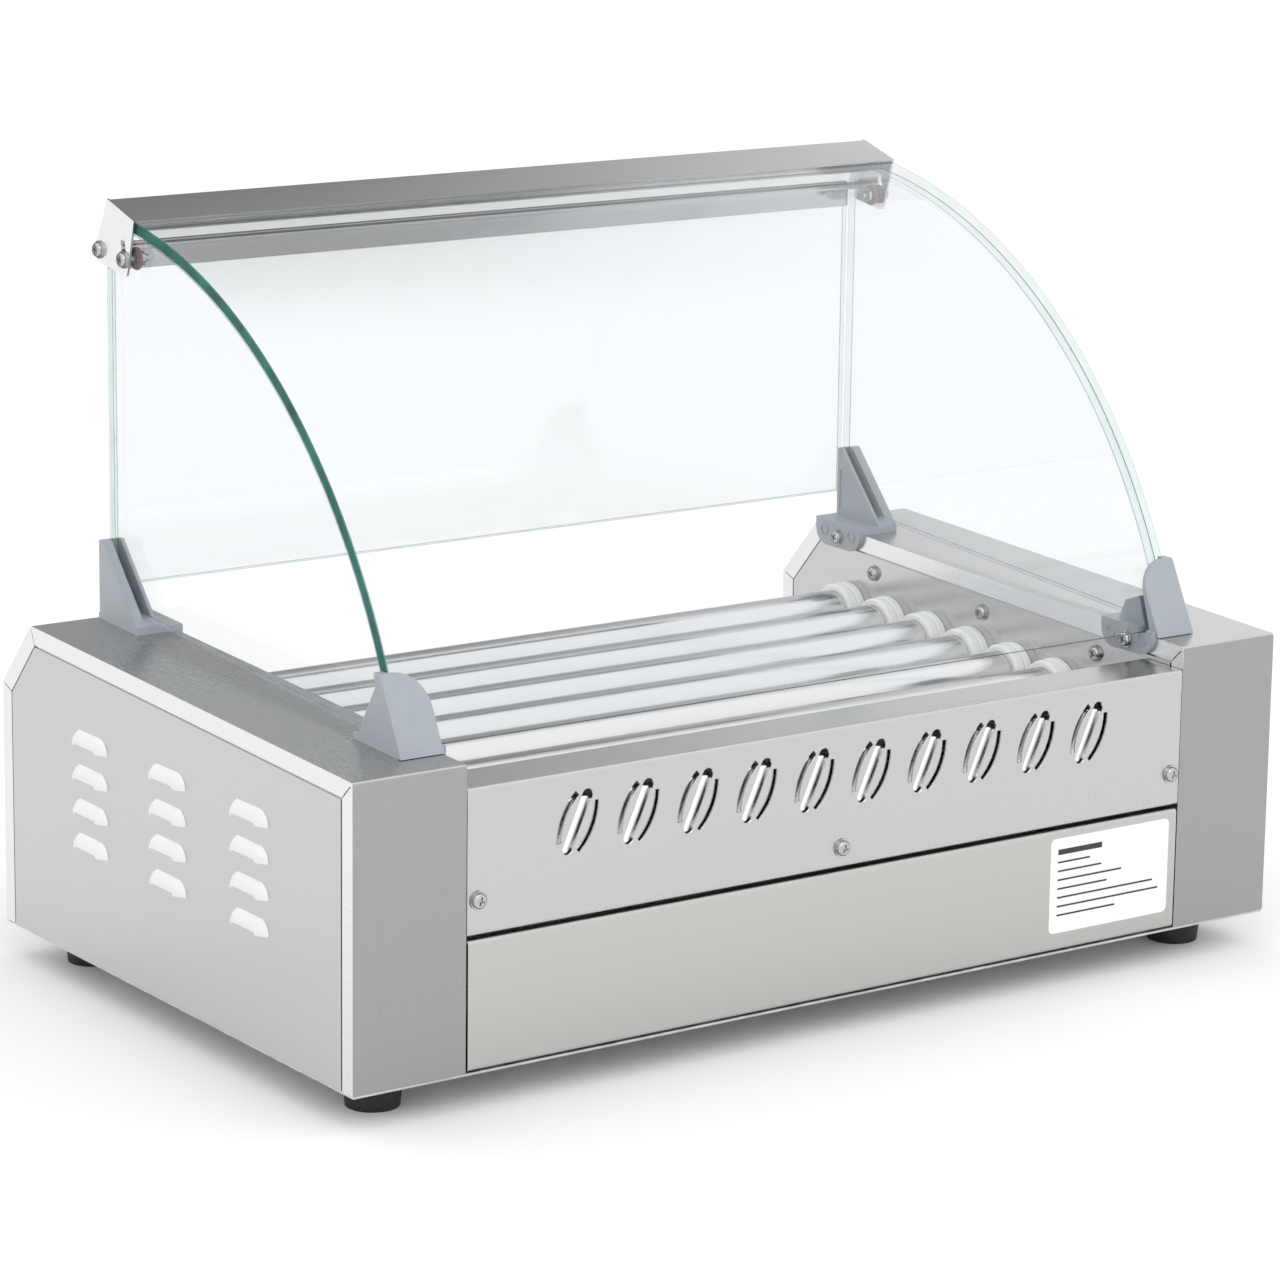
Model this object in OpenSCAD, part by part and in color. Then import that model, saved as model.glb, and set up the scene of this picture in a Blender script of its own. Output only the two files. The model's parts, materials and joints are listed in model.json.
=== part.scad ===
// Countertop roller grill for sausages, with seven driven rollers and a curved glass sneeze guard.
// The customer side faces -Y, the operator side faces +Y, and the grill stands on z = 0.
// All sizes are in millimetres.

/* [Overall] */
// Width over the two side housings
width = 580; // [560:1:620]
// Depth of the side housings, front to rear
depth = 350; // [344:1:360]
// Height of the rubber feet
foot_h = 18; // [14:1:26]
// Thickness of the stainless sheet
sheet = 1.2; // [1:0.1:1.5]

/* [Side housings] */
// Width of each side housing
housing_w = 64; // [62:1:74]
// Height of the housing at its front edge, above the feet
housing_front_h = 155; // [152:1:160]
// Height of the housing where its rear chamfer starts, above the feet
housing_rear_h = 168; // [165:1:172]
// Depth of the rear chamfer
chamfer_y = 32; // [28:1:36]
// Height of the rear chamfer
chamfer_z = 36; // [30:1:40]
// Width of the folded flange around each housing side
flange_w = 9.5; // [8:0.5:12]
// Gap between a side sheet and the flange around it
panel_gap = 0.9; // [0.4:0.1:1.2]
// Rows of louvres on each outer side
louvre_rows = 4; // [2:1:4]
// Columns of louvres on each outer side
louvre_columns = 3; // [2:1:3]
// Length of one louvre
louvre_l = 36; // [28:1:40]

/* [Rollers] */
// Number of rollers
roller_count = 7; // [7:1:7]
// Outer diameter of a roller
roller_d = 25; // [22:0.5:25]
// Distance between roller axes, measured along the depth
roller_pitch = 37.3; // [37.3:0.1:37.8]
// Depth position of the rearmost roller axis
roller_rear_y = 111.7; // [110:0.1:112]
// Height of the rearmost roller axis above the feet
roller_rear_h = 120.5; // [119:0.1:122]
// Teeth on each sprocket
sprocket_teeth = 16; // [14:1:16]

/* [Hood] */
// Outer radius of the curved front glass
glass_r = 317.4; // [316:0.1:318]
// Thickness of the curved front glass
front_glass_t = 6; // [5:0.5:6]
// Thickness of each side glass
side_glass_t = 5; // [4:0.5:5]
// Half of the hood cap's length
cap_half_l = 246.6; // [246.6:0.1:248]
// Thickness of the hinged rear pane
flap_t = 4; // [3:0.5:4]

/* [Front] */
// Height of the drip tray's front, above the feet
tray_front_h = 67.7; // [60:0.1:68]
// Slanted pictograms cut through the front panel
motif_count = 10; // [6:1:10]
// Slant of the pictograms, in degrees from vertical
motif_slant = 24; // [0:1:30]

/* [Hidden] */

$fn = 64;
over = 0.5;         // how far a cutting shape runs past the face that it cuts
fit = 0.05;         // radial clearance of a running fit
half_w = width / 2;
half_d = depth / 2;

// Housing
wall_x = half_w - housing_w;              // inner face of each side housing
front_z = foot_h + housing_front_h;
rear_z = foot_h + housing_rear_h;
break_y = half_d - chamfer_y;
slope = (rear_z - front_z) / (break_y + half_d);
floor_z = foot_h + sheet;                 // top of the base pan
bend_r = 2;
side_path = [[-half_d, floor_z], [-half_d, front_z], [break_y, rear_z],
             [half_d, rear_z - chamfer_z], [half_d, floor_z]];
function top_z(y) = front_z + (y + half_d) * slope;

// Louvres
louvre_rise = 4;
louvre_h = 8;
louvre_r = (louvre_h * louvre_h / louvre_rise + louvre_rise) / 2;
louvre_pitch_y = 80;
louvre_pitch_z = 18.3;
louvre_low_z = foot_h + 60.6;

// Rollers
roller_r = roller_d / 2;
tube_wall = 1;
element_r = 4;
seal_r = 16.5;
seal_face_x = wall_x - 5;
sleeve_w = 6;
sleeve_gap = 0.4;
hub_r = 14.8;
tube_end_drive = wall_x + 26;
tube_end_free = wall_x + 14;
function roller_at(i) = [roller_rear_y - i * roller_pitch,
                         foot_h + roller_rear_h - i * roller_pitch * slope];

// Chain drive, inside the right housing
chain_pitch = 6.35;
sprocket_t = 2.8;
drive_x = wall_x + 17;
sprocket_pitch_r = chain_pitch / 2 / sin(180 / sprocket_teeth);
tooth_tip_r = sprocket_pitch_r + 1.6;
tooth_root_r = sprocket_pitch_r - 1.6;
motor_at = [0, foot_h + 44];
motor_shaft_r = 4;
chain_run_r = tooth_tip_r + 1.7;
chain_corners = [roller_at(0), roller_at(roller_count - 1), motor_at];

// Hood
glass_centre = [156.7, foot_h + 66.8];
glass_top_a = 97.5;
glass_bottom_a = 163.2;
glass_half_l = 244.9;
side_glass_x = 244.8;
side_glass_rear_y = 138.6;
flap_half_w = 240.5;
hinge_at = [142.6, foot_h + 362.5];
clamp_at = [117, foot_h + 360.5];
cap_front = [106, foot_h + 381.5];
cap_ridge = [134, foot_h + 390];
cap_tail = [139.5, foot_h + 371];

// Brackets
bracket_in_x = wall_x - 2.6;
bracket_out_x = wall_x + 24.5;
bracket_base_t = 3.2;
bracket_flange_l = 41;
front_bracket_y = -132;
rear_bracket_y = 120.5;
bracket_screw_drop = 5;

// Panels and tray
panel_low_z = foot_h + 69.7;
panel_top_z = foot_h + 143;
strip_y = 30.5;
rear_face_y = 151.2;
rear_top_z = foot_h + 122;
tray_half_w = wall_x - 1;
tray_pan_z = floor_z + sheet + 0.3;
tray_rear_y = 138;
tray_wall_h = 27;
screw_head_r = 3.9;
screw_head_h = 2.2;
screw_hole_r = 2.1;
wall_screw_ys = [89, -8.3, -105.3];
wall_screw_drop = 19.8;
front_screws = [[-219.5, foot_h + 87.2], [0, foot_h + 80], [219.5, foot_h + 87.2]];
rear_screw_x = wall_x + 32;
rear_screw_zs = [foot_h + 40, foot_h + 95];
face_screws = [for (s = [-1, 1], z = [18, 106]) [s * (wall_x - 10), foot_h + z]];

// Rear controls, as seen from the operator side
knob_r = 17;
knob_l = 19;
knob_z = foot_h + 64;
knob_xs = [120, 40];
shaft_r = 3;
lamp_z = foot_h + 100;
switch_at = [-50, foot_h + 66];
rocker_tilt = 12;
pivot_at = [rear_face_y - 3.5, switch_at[1]];
pivot_r = 1.5;
gland_at = [-180, foot_h + 50];

// ---- Plane geometry ----

function unit(v) = v / norm(v);
function left(v) = [-v.y, v.x];
function turned(v, a) = [v.x * cos(a) - v.y * sin(a), v.x * sin(a) + v.y * cos(a)];
function turn(a, b) = atan2(a.x * b.y - a.y * b.x, a * b);
function reversed(list) = [for (i = [len(list) - 1 : -1 : 0]) list[i]];
function arc(centre, r, a0, a1, steps = 12) =
    [for (k = [0 : steps]) let (a = a0 + (a1 - a0) * k / steps) centre + r * [cos(a), sin(a)]];

// A path bent with radius r, moved sideways to its left
function bent(path, r, side, steps = 5) = [
    for (i = [0 : len(path) - 1])
        let (a = unit(path[max(i, 1)] - path[max(i, 1) - 1]),
             last = len(path) - 1,
             b = i == 0 ? a : unit(path[min(i, last - 1) + 1] - path[min(i, last - 1)]),
             phi = i == 0 || i == last ? 0 : turn(a, b),
             s = phi > 0 ? 1 : -1)
        if (phi == 0) path[i] + left(a) * side
        else for (k = [0 : steps])
            path[i] - a * r * tan(abs(phi) / 2) + left(a) * s * r
            - left(turned(a, phi * k / steps)) * s * (r - s * side)
];

// The same path moved sideways with sharp corners
function mitred(path, side) = [
    for (i = [0 : len(path) - 1])
        let (last = len(path) - 1,
             a = unit(path[max(i, 1)] - path[max(i, 1) - 1]),
             b = unit(path[min(i, last - 1) + 1] - path[min(i, last - 1)]))
        path[i] + (left(a) + left(b)) * side / (1 + a * b)
];

// A closed outline with each corner rounded by its own radius
function rounded(points, radii, steps = 6) = [
    for (i = [0 : len(points) - 1])
        let (n = len(points),
             a = unit(points[i] - points[(i + n - 1) % n]),
             b = unit(points[(i + 1) % n] - points[i]),
             phi = turn(a, b), s = phi > 0 ? 1 : -1, r = radii[i])
        if (r == 0) points[i]
        else for (k = [0 : steps])
            points[i] - a * r * tan(abs(phi) / 2) + left(a) * s * r
            - left(turned(a, phi * k / steps)) * s * r
];

// Sheet metal seen edge on: the path is its outer face and the sheet lies to the path's right
module strip(path, r, t = sheet) {
    polygon(concat(bent(path, r, 0), reversed(bent(path, r, -t))));
}

// ---- Placing ----

// Extrudes a (y, z) outline along X
module along_x(x0, x1) {
    translate([x0, 0, 0]) rotate([90, 0, 90]) linear_extrude(x1 - x0) children();
}
// Extrudes an (x, z) outline along Y, from y0 back to y1
module along_y(y0, y1) {
    translate([0, y1, 0]) rotate([90, 0, 0]) linear_extrude(y1 - y0) children();
}
// Turns an axis that points along Z to point along X, at (y, z)
module on_x(at, x = 0) {
    translate([x, at[0], at[1]]) rotate([0, 90, 0]) children();
}
// Turns an axis that points along Z to point along +Y, at (x, z)
module on_y(at, y = 0) {
    translate([at[0], y, at[1]]) rotate([-90, 0, 0]) children();
}
module both_sides() {
    children();
    mirror([1, 0, 0]) children();
}
module ring(r_out, r_in, h) {
    difference() {
        cylinder(r = r_out, h = h);
        translate([0, 0, -over]) cylinder(r = r_in, h = h + 2 * over);
    }
}
// A stadium from one point to another
module slot(a, b, r) {
    polygon(concat(arc(a, r, atan2(b.y - a.y, b.x - a.x) + 90, atan2(b.y - a.y, b.x - a.x) + 270),
                   arc(b, r, atan2(b.y - a.y, b.x - a.x) - 90, atan2(b.y - a.y, b.x - a.x) + 90)));
}

// ---- Fasteners ----

// Pan head screw with a washer, seated on z = 0 with its head up
module pan_screw(length = 8, r = 2) {
    washer_t = 0.8;
    difference() {
        union() {
            cylinder(r = 4.7, h = washer_t);
            translate([0, 0, washer_t]) rotate_extrude()
                polygon(concat([[0, 0], [screw_head_r, 0]],
                               arc([screw_head_r - 1.6, screw_head_h - 1.6], 1.6, 0, 60),
                               [[0, screw_head_h]]));
            translate([0, 0, -length]) cylinder(r = r, h = length + washer_t);
        }
        for (a = [0, 90])
            rotate([0, 0, a + 20]) translate([-2.1, -0.45, washer_t + 0.9])
                cube([4.2, 0.9, screw_head_h]);
    }
}

// ---- Casing ----

module base_pan() {
    lip = 10;
    color("silver") difference() {
        union() {
            translate([-half_w + 0.6, -half_d + 0.6, foot_h])
                cube([width - 1.2, depth - 1.2, sheet]);
            both_sides() {
                translate([half_w - 3 * sheet - 0.2, -half_d + 12, floor_z])
                    cube([sheet, depth - 24, lip]);
                for (y = [-half_d + sheet + 0.2, half_d - 2 * sheet - 0.2])
                    translate([wall_x + 12, y, floor_z]) cube([housing_w - 20, sheet, lip]);
            }
        }
        for (x = [-150 : 60 : 150], y = [-60, 60])
            translate([0, 0, foot_h - over]) linear_extrude(sheet + 2 * over)
                slot([x, y - 30], [x, y + 30], 3);
        both_sides() for (y = [-140, 140])
            translate([half_w - 33, y, foot_h - over]) cylinder(r = 2.2, h = sheet + 2 * over);
    }
}

// Wrapped shell of the right side housing, with flanges folded in around both of its sides
module housing() {
    along_x(wall_x, half_w) strip(side_path, bend_r);
    for (x = [wall_x, half_w - sheet])
        along_x(x, x + sheet) difference() {
            polygon(concat(bent(side_path, bend_r, 0), reversed(mitred(side_path, -flange_w))));
            mitre_slits(0.25);
        }
}
// Slits where the folded flanges meet at the housing's upper corners
module mitre_slits(half) {
    inner = mitred(side_path, -flange_w - 1);
    outer = mitred(side_path, -sheet - 0.8);
    for (i = [1 : len(side_path) - 2])
        let (side = left(unit(inner[i] - outer[i])) * half)
            polygon([outer[i] + side, outer[i] - side, inner[i] - side, inner[i] + side]);
}
module drilled_housing() {
    difference() {
        housing();
        bracket_screw_holes();
        for (z = rear_screw_zs)
            on_y([rear_screw_x, z], half_d - 2 * sheet) cylinder(r = screw_hole_r, h = 3 * sheet);
    }
}
module bracket_screw_holes() {
    for (y = [front_bracket_y, rear_bracket_y])
        on_x([y, top_z(y) - bracket_screw_drop], wall_x - over)
            cylinder(r = screw_hole_r, h = 2 * sheet + 2 * over);
}
module left_housing() { color("silver") mirror([1, 0, 0]) drilled_housing(); }
module right_housing() { color("silver") drilled_housing(); }

// Side sheet that fills a housing's flange, with a joggled rim behind the flange
module side_sheet(x, rim_x) {
    along_x(x, x + sheet) polygon(mitred(side_path, -flange_w - panel_gap));
    along_x(rim_x, rim_x + sheet) difference() {
        polygon(mitred(side_path, -sheet - 1.4));
        polygon(concat([[half_d - 16, 0], [16 - half_d, 0]], mitred(side_path, -flange_w - 4)));
    }
}

// Scooped louvre body, opening downwards; `skin` is how far it lies inside the outer surface
module louvre_body(skin) {
    sunk = louvre_r - louvre_rise;
    run = louvre_l / 2 - louvre_h;
    intersection() {
        union() {
            translate([-sunk, -run, 0]) rotate([-90, 0, 0])
                cylinder(r = louvre_r - skin, h = 2 * run);
            for (y = [-run, run]) translate([-sunk, y, 0]) sphere(r = louvre_r - skin);
        }
        translate([-sheet - over, -louvre_l, 0]) cube([20, 2 * louvre_l, 20]);
    }
}
module louvre_panel() {
    difference() {
        union() {
            side_sheet(half_w - sheet, half_w - 2 * sheet);
            at_louvres() intersection() {
                louvre_body(0);
                translate([-sheet, -50, -10]) cube([20, 100, 40]);
            }
        }
        at_louvres() {
            louvre_body(sheet);
            translate([-sheet - over, 6 - louvre_l / 2, -0.5])
                cube([sheet + over + 2.4, louvre_l - 12, 1]);
        }
    }
}
module at_louvres() {
    for (c = [0 : louvre_columns - 1], r = [0 : louvre_rows - 1])
        translate([half_w, louvre_pitch_y * (1 - c), louvre_low_z + r * louvre_pitch_z]) children();
}
module left_louvre_panel() { color("silver") mirror([1, 0, 0]) louvre_panel(); }
module right_louvre_panel() { color("silver") louvre_panel(); }

// Inner wall that carries the rollers, with the tray's runner folded from its lower edge
module bearing_plate() {
    difference() {
        union() {
            side_sheet(wall_x, wall_x + sheet);
            translate([wall_x - 12, -half_d + 14, floor_z]) cube([12 + sheet, depth - 52, sheet]);
        }
        for (i = [0 : roller_count - 1])
            on_x(roller_at(i), wall_x - over) cylinder(r = hub_r + 0.1, h = 2 * sheet + 2 * over);
        for (y = wall_screw_ys)
            on_x([y, top_z(y) - wall_screw_drop], wall_x - over)
                cylinder(r = screw_hole_r, h = sheet + 2 * over);
        bracket_screw_holes();
    }
}
module left_bearing_plate() { color("silver") mirror([1, 0, 0]) bearing_plate(); }
module right_bearing_plate() { color("silver") bearing_plate(); }

// One pictogram, in outline, of a sausage between the two halves of a bun
module motif() {
    bun_r = 34;
    bun_x = 10.5;
    bun_a = 24;
    slot([0, -14], [0, 14], 3.1);
    for (s = [0, 1])
        mirror([s, 0]) polygon(concat(arc([bun_x - bun_r, 0], bun_r, -bun_a, bun_a),
                                      arc([bun_x - bun_r, 0], bun_r - 3, bun_a, -bun_a)));
}
module front_panel() {
    motif_pitch = 36;
    motif_z = foot_h + 117.5;
    color("gainsboro") difference() {
        along_x(-wall_x + 0.4, wall_x - 0.4)
            strip([[-half_d + 14, panel_low_z], [-half_d, panel_low_z], [-half_d, panel_top_z],
                   [-half_d + strip_y, panel_top_z + 0.6], [-half_d + strip_y, panel_top_z - 9]], 1.6);
        for (i = [0 : motif_count - 1])
            translate([(i - (motif_count - 1) / 2) * motif_pitch, 0, motif_z])
                along_y(-half_d - over, -half_d + sheet + over) rotate([0, 0, -motif_slant]) motif();
        for (at = front_screws) on_y(at, -half_d - over) cylinder(r = screw_hole_r, h = 3 * sheet);
    }
}
// Channel behind the front panel; it closes the gap above the tray and its front leg backs the cut-outs
module front_cross_rail() {
    back_y = -half_d + 24;
    leg_y = -half_d + 3.6;
    top = panel_top_z - 14;
    color("gray") along_x(-wall_x + 0.4, wall_x - 0.4)
        strip([[-half_d + 4, panel_low_z - 0.2], [back_y, panel_low_z - 0.2], [back_y, top],
               [leg_y, top], [leg_y, panel_low_z + 24]], 1.6);
}
module rear_panel() {
    color("gainsboro") difference() {
        along_x(-wall_x + 0.4, wall_x - 0.4)
            strip([[rear_face_y - 22, rear_top_z - 8], [rear_face_y - 22, rear_top_z],
                   [rear_face_y, rear_top_z], [rear_face_y, floor_z]], 1.6);
        for (x = knob_xs) on_y([x, knob_z], rear_face_y - 4) cylinder(r = 5, h = 8);
        for (x = knob_xs) on_y([x, lamp_z], rear_face_y - 4) cylinder(r = 4.6, h = 8);
        translate([switch_at[0] - 9, rear_face_y - 4, switch_at[1] - 12.5]) cube([18, 8, 25]);
        on_y(gland_at, rear_face_y - 4) cylinder(r = 8.1, h = 8);
        for (at = face_screws) on_y(at, rear_face_y - 4) cylinder(r = screw_hole_r, h = 8);
    }
}

// ---- Hood ----

module hood_cap() {
    end_plate = rounded([cap_front, cap_ridge, [150, foot_h + 357], [114, foot_h + 351.3]],
                        [0, 0, 5, 3]);
    slot_a = [162, 190.5];                // the clamp screw's slot curves about the hinge
    clamp_r = norm(clamp_at - hinge_at);
    color("lightgray") {
        along_x(-cap_half_l, cap_half_l) strip([cap_front, cap_ridge, cap_tail], 1.6);
        both_sides() difference() {
            along_x(cap_half_l - sheet, cap_half_l) polygon(end_plate);
            on_x(hinge_at, cap_half_l - 2 * sheet) cylinder(r = screw_hole_r, h = 3 * sheet);
            along_x(cap_half_l - 2 * sheet, cap_half_l + sheet)
                polygon(concat(arc(hinge_at, clamp_r + screw_hole_r, slot_a[0], slot_a[1]),
                               arc(hinge_at, clamp_r - screw_hole_r, slot_a[1], slot_a[0])));
        }
    }
}

// Part of a tube wall around the glass's own axis
module glass_arc(r_out, t, a0, a1, x0, x1) {
    translate([0, glass_centre[0], glass_centre[1]]) rotate([90, 0, 90]) rotate([0, 0, a0])
        rotate_extrude(angle = a1 - a0, $fn = 256) translate([r_out - t, x0]) square([t, x1 - x0]);
}
module front_glass() {
    color("lightcyan", 0.4)
        glass_arc(glass_r, front_glass_t, glass_top_a, glass_bottom_a, -glass_half_l, glass_half_l);
}

// Side pane: it ends on the inside of the curved glass and just above the housing's top
module side_glass() {
    inner_r = glass_r - front_glass_t - 0.5;
    bottom_a = 162.9;
    corner_y = cap_ridge[0] - 1;          // the upper rear corner is cut off below the cap
    corner_z = cap_tail[1] - 4;
    top_a = atan2(sqrt(inner_r * inner_r - pow(corner_y - glass_centre[0], 2)),
                  corner_y - glass_centre[0]);
    difference() {
        along_x(side_glass_x - side_glass_t, side_glass_x)
            polygon(concat([[side_glass_rear_y, top_z(side_glass_rear_y) + 8.6],
                            [side_glass_rear_y, corner_z]],
                           arc(glass_centre, inner_r, top_a, bottom_a, 48)));
        on_x(clamp_at, side_glass_x - 2 * side_glass_t) cylinder(r = 2.6, h = 3 * side_glass_t);
    }
}
module left_glass() { color("lightcyan", 0.4) mirror([1, 0, 0]) side_glass(); }
module right_glass() { color("lightcyan", 0.4) side_glass(); }

// Rounded flange of a bracket on the housing's inner face, with a moulded boss each side of its screw
module bracket_flange(y) {
    half = bracket_flange_l / 2;
    low = top_z(y) - 11.5;
    boss_gap = 12.5;
    boss_r = 3.4;
    boss_rise = 2.2;
    along_x(bracket_in_x, wall_x) difference() {
        polygon(rounded([[y - half, low], [y + half, low],
                         [y + half, top_z(y + half) + bracket_base_t],
                         [y - half, top_z(y - half) + bracket_base_t]], [10, 10, 1, 1]));
        translate([y, top_z(y) - bracket_screw_drop]) circle(r = screw_hole_r);
    }
    for (s = [-1, 1])
        on_x([y + s * boss_gap, top_z(y) - bracket_screw_drop + boss_rise], bracket_in_x - 0.6)
            ring(boss_r, boss_r - 0.8, 0.8);
}
// Plate of a bracket that lies on the housing's top
module bracket_base(y) {
    half = bracket_flange_l / 2;
    along_x(bracket_in_x, bracket_out_x) polygon([
        [y - half, top_z(y - half)], [y + half, top_z(y + half)],
        [y + half, top_z(y + half) + bracket_base_t], [y - half, top_z(y - half) + bracket_base_t]]);
}
// Groove for a side glass, open at its top and rear, behind the bent front glass
module side_glass_slot() {
    side_play = 0.2;
    toe_y = -141.3;
    rear_y = side_glass_rear_y + side_play;
    rear_low = rear_z + 8.2;
    toe_low = front_z + 0.8 + (rear_low - front_z - 0.8) * (toe_y + half_d) / (rear_y + half_d);
    top = foot_h + 400;
    along_x(side_glass_x - side_glass_t - side_play, side_glass_x + side_play)
        polygon([[toe_y, toe_low], [rear_y, rear_low], [rear_y, top], [toe_y + 81, top]]);
}
module rear_bracket() {
    rear_y = 140;
    fin_top = foot_h + 210;
    front_y = rear_bracket_y - bracket_flange_l / 2;
    color("slategray") difference() {
        union() {
            bracket_flange(rear_bracket_y);
            bracket_base(rear_bracket_y);
            along_x(wall_x + 11.5, bracket_out_x)
                polygon([[front_y, top_z(front_y)], [rear_y, top_z(rear_y)],
                         [rear_y, fin_top], [rear_y - 3.6, fin_top],
                         [front_y + 1, top_z(front_y) + bracket_base_t + 1]]);
        }
        side_glass_slot();
        translate([wall_x + 10, 0, 0]) along_x(0, 2.1)
            polygon([[front_y + 12, top_z(front_y) + 8], [rear_y - 2.4, top_z(rear_y) + 6.5],
                     [rear_y - 2.4, fin_top - 12]]);
    }
}
module left_rear_bracket() { mirror([1, 0, 0]) rear_bracket(); }
module right_rear_bracket() { rear_bracket(); }

module front_bracket() {
    toe = [-155, top_z(-155) + 0.3];
    heel = [-114, top_z(-114) + 0.3];
    peak = [-136, foot_h + 194];
    color("slategray") difference() {
        union() {
            bracket_flange(front_bracket_y);
            bracket_base(front_bracket_y);
            // outer cheek and front tab
            along_x(side_glass_x + 0.4, bracket_out_x)
                polygon(rounded([toe, heel, peak], [1.5, 3, 1.5]));
            intersection() {
                along_x(wall_x, bracket_out_x)
                    polygon([toe, [toe[0] + 12, top_z(toe[0] + 12) + 0.3],
                             [peak[0] + 6, peak[1]], peak]);
                along_y(-200, -100)
                    polygon(rounded([[wall_x, 150], [bracket_out_x, 150],
                                     [bracket_out_x, peak[1]], [wall_x, peak[1]]], [0, 0, 1, 17]));
            }
            // inner block behind the curved glass
            along_x(wall_x + 3, side_glass_x - side_glass_t - 0.2)
                polygon([[-142, top_z(-142)], [-118, top_z(-118)], [-124, foot_h + 171],
                         [-137, foot_h + 176]]);
        }
        side_glass_slot();
        glass_arc(glass_r + 0.3, front_glass_t + 0.6, 140, glass_bottom_a + 0.06,
                  wall_x - 10, glass_half_l + 0.3);
        glass_arc(glass_r - 5, 14, 140, 160.4, wall_x + 12, glass_half_l - 4);
    }
}
module left_front_bracket() { mirror([1, 0, 0]) front_bracket(); }
module right_front_bracket() { front_bracket(); }

module hood_screws() {
    nut_r = 4;
    color("whitesmoke") both_sides() {
        on_x(hinge_at, cap_half_l) pan_screw(14.5, 2);
        on_x(clamp_at, cap_half_l) pan_screw(14, 2);
        on_x(clamp_at, side_glass_x - side_glass_t - 4.4) ring(nut_r, 2.02, 3);
    }
}
module hood_washers() {
    color("firebrick") both_sides() {
        on_x(clamp_at, side_glass_x) ring(5.4, 2.1, cap_half_l - sheet - side_glass_x);
        on_x(clamp_at, side_glass_x - side_glass_t - 1.4) ring(6, 2.1, 1.4);
    }
}
// Pane that hangs at the operator side, in a rail on the hinge line
module rear_flap_glass() {
    glass_top = hinge_at[1] - 4.5;
    glass_low = foot_h + 184;
    color("lightcyan", 0.4) translate([-flap_half_w, hinge_at[0] - flap_t / 2, glass_low])
        cube([2 * flap_half_w, flap_t, glass_top - glass_low]);
}
module rear_flap_rail() {
    rail_half = flap_half_w;
    tube_r = 3.2;
    depth_below = 11;
    cheek_t = 0.9;
    color("silver") difference() {
        union() {
            on_x(hinge_at, -rail_half) cylinder(r = tube_r, h = 2 * rail_half);
            translate([-rail_half, hinge_at[0] - flap_t / 2 - cheek_t, hinge_at[1] - depth_below])
                cube([2 * rail_half, flap_t + 2 * cheek_t, depth_below]);
        }
        translate([-rail_half - over, hinge_at[0] - flap_t / 2, hinge_at[1] - depth_below - over])
            cube([2 * rail_half + 2 * over, flap_t, depth_below - 4.5 + over]);
        both_sides() on_x(hinge_at, rail_half - 12) cylinder(r = 2 + fit, h = 13);
    }
}

// ---- Rollers ----

module roller_tube(i) {
    color("whitesmoke") on_x(roller_at(i), -tube_end_free) difference() {
        cylinder(r = roller_r, h = tube_end_free + tube_end_drive);
        translate([0, 0, -over])
            cylinder(r = roller_r - tube_wall, h = tube_end_free + tube_end_drive + 2 * over);
    }
}
// White end rings that turn with the roller
module roller_sleeves(i) {
    edge = 1.6;
    color("white") both_sides() on_x(roller_at(i), seal_face_x - sleeve_gap - sleeve_w)
        rotate_extrude() polygon(concat(
            [[roller_r + 0.02, 0], [seal_r - 0.4 - edge, 0]],
            arc([seal_r - 0.4 - edge, edge], edge, -75, 0, 5),
            [[seal_r - 0.4, sleeve_w], [roller_r + 0.02, sleeve_w]]));
}
// Fixed white bushings that the rollers turn in
module roller_bushings() {
    hub_l = 11;
    color("white") both_sides() for (i = [0 : roller_count - 1])
        on_x(roller_at(i), seal_face_x) rotate_extrude() polygon([
            [roller_r + fit, 0], [seal_r - 0.6, 0], [seal_r, 0.6], [seal_r, 4.4], [seal_r - 0.4, 5],
            [hub_r, 5], [hub_r, hub_l], [roller_r + fit, hub_l]]);
}
module sprocket_outline() {
    pitch_a = 360 / sprocket_teeth;
    polygon([for (k = [0 : sprocket_teeth - 1], step = [[-0.3, 0], [-0.16, 1], [0.16, 1], [0.3, 0]])
        let (a = (k + step[0]) * pitch_a, r = step[1] > 0 ? tooth_tip_r : tooth_root_r)
        r * [cos(a), sin(a)]]);
}
module sprocket(bore_r, boss_r, boss_l) {
    difference() {
        union() {
            translate([0, 0, -sprocket_t / 2]) linear_extrude(sprocket_t) sprocket_outline();
            translate([0, 0, -boss_l]) cylinder(r = boss_r, h = boss_l);
        }
        translate([0, 0, -boss_l - over]) cylinder(r = bore_r, h = boss_l + sprocket_t + 2 * over);
    }
}
module roller_sprocket(i) {
    color("dimgray") on_x(roller_at(i), drive_x) sprocket(roller_r + 0.02, roller_r + 1.7, 6);
}

// ---- Drive and heating ----

module motor_sprocket() {
    color("dimgray") on_x(motor_at, drive_x) {
        sprocket(motor_shaft_r + 0.02, 9, 6);
        translate([0, 0, -7]) cylinder(r = motor_shaft_r, h = 20);
    }
}
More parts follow.
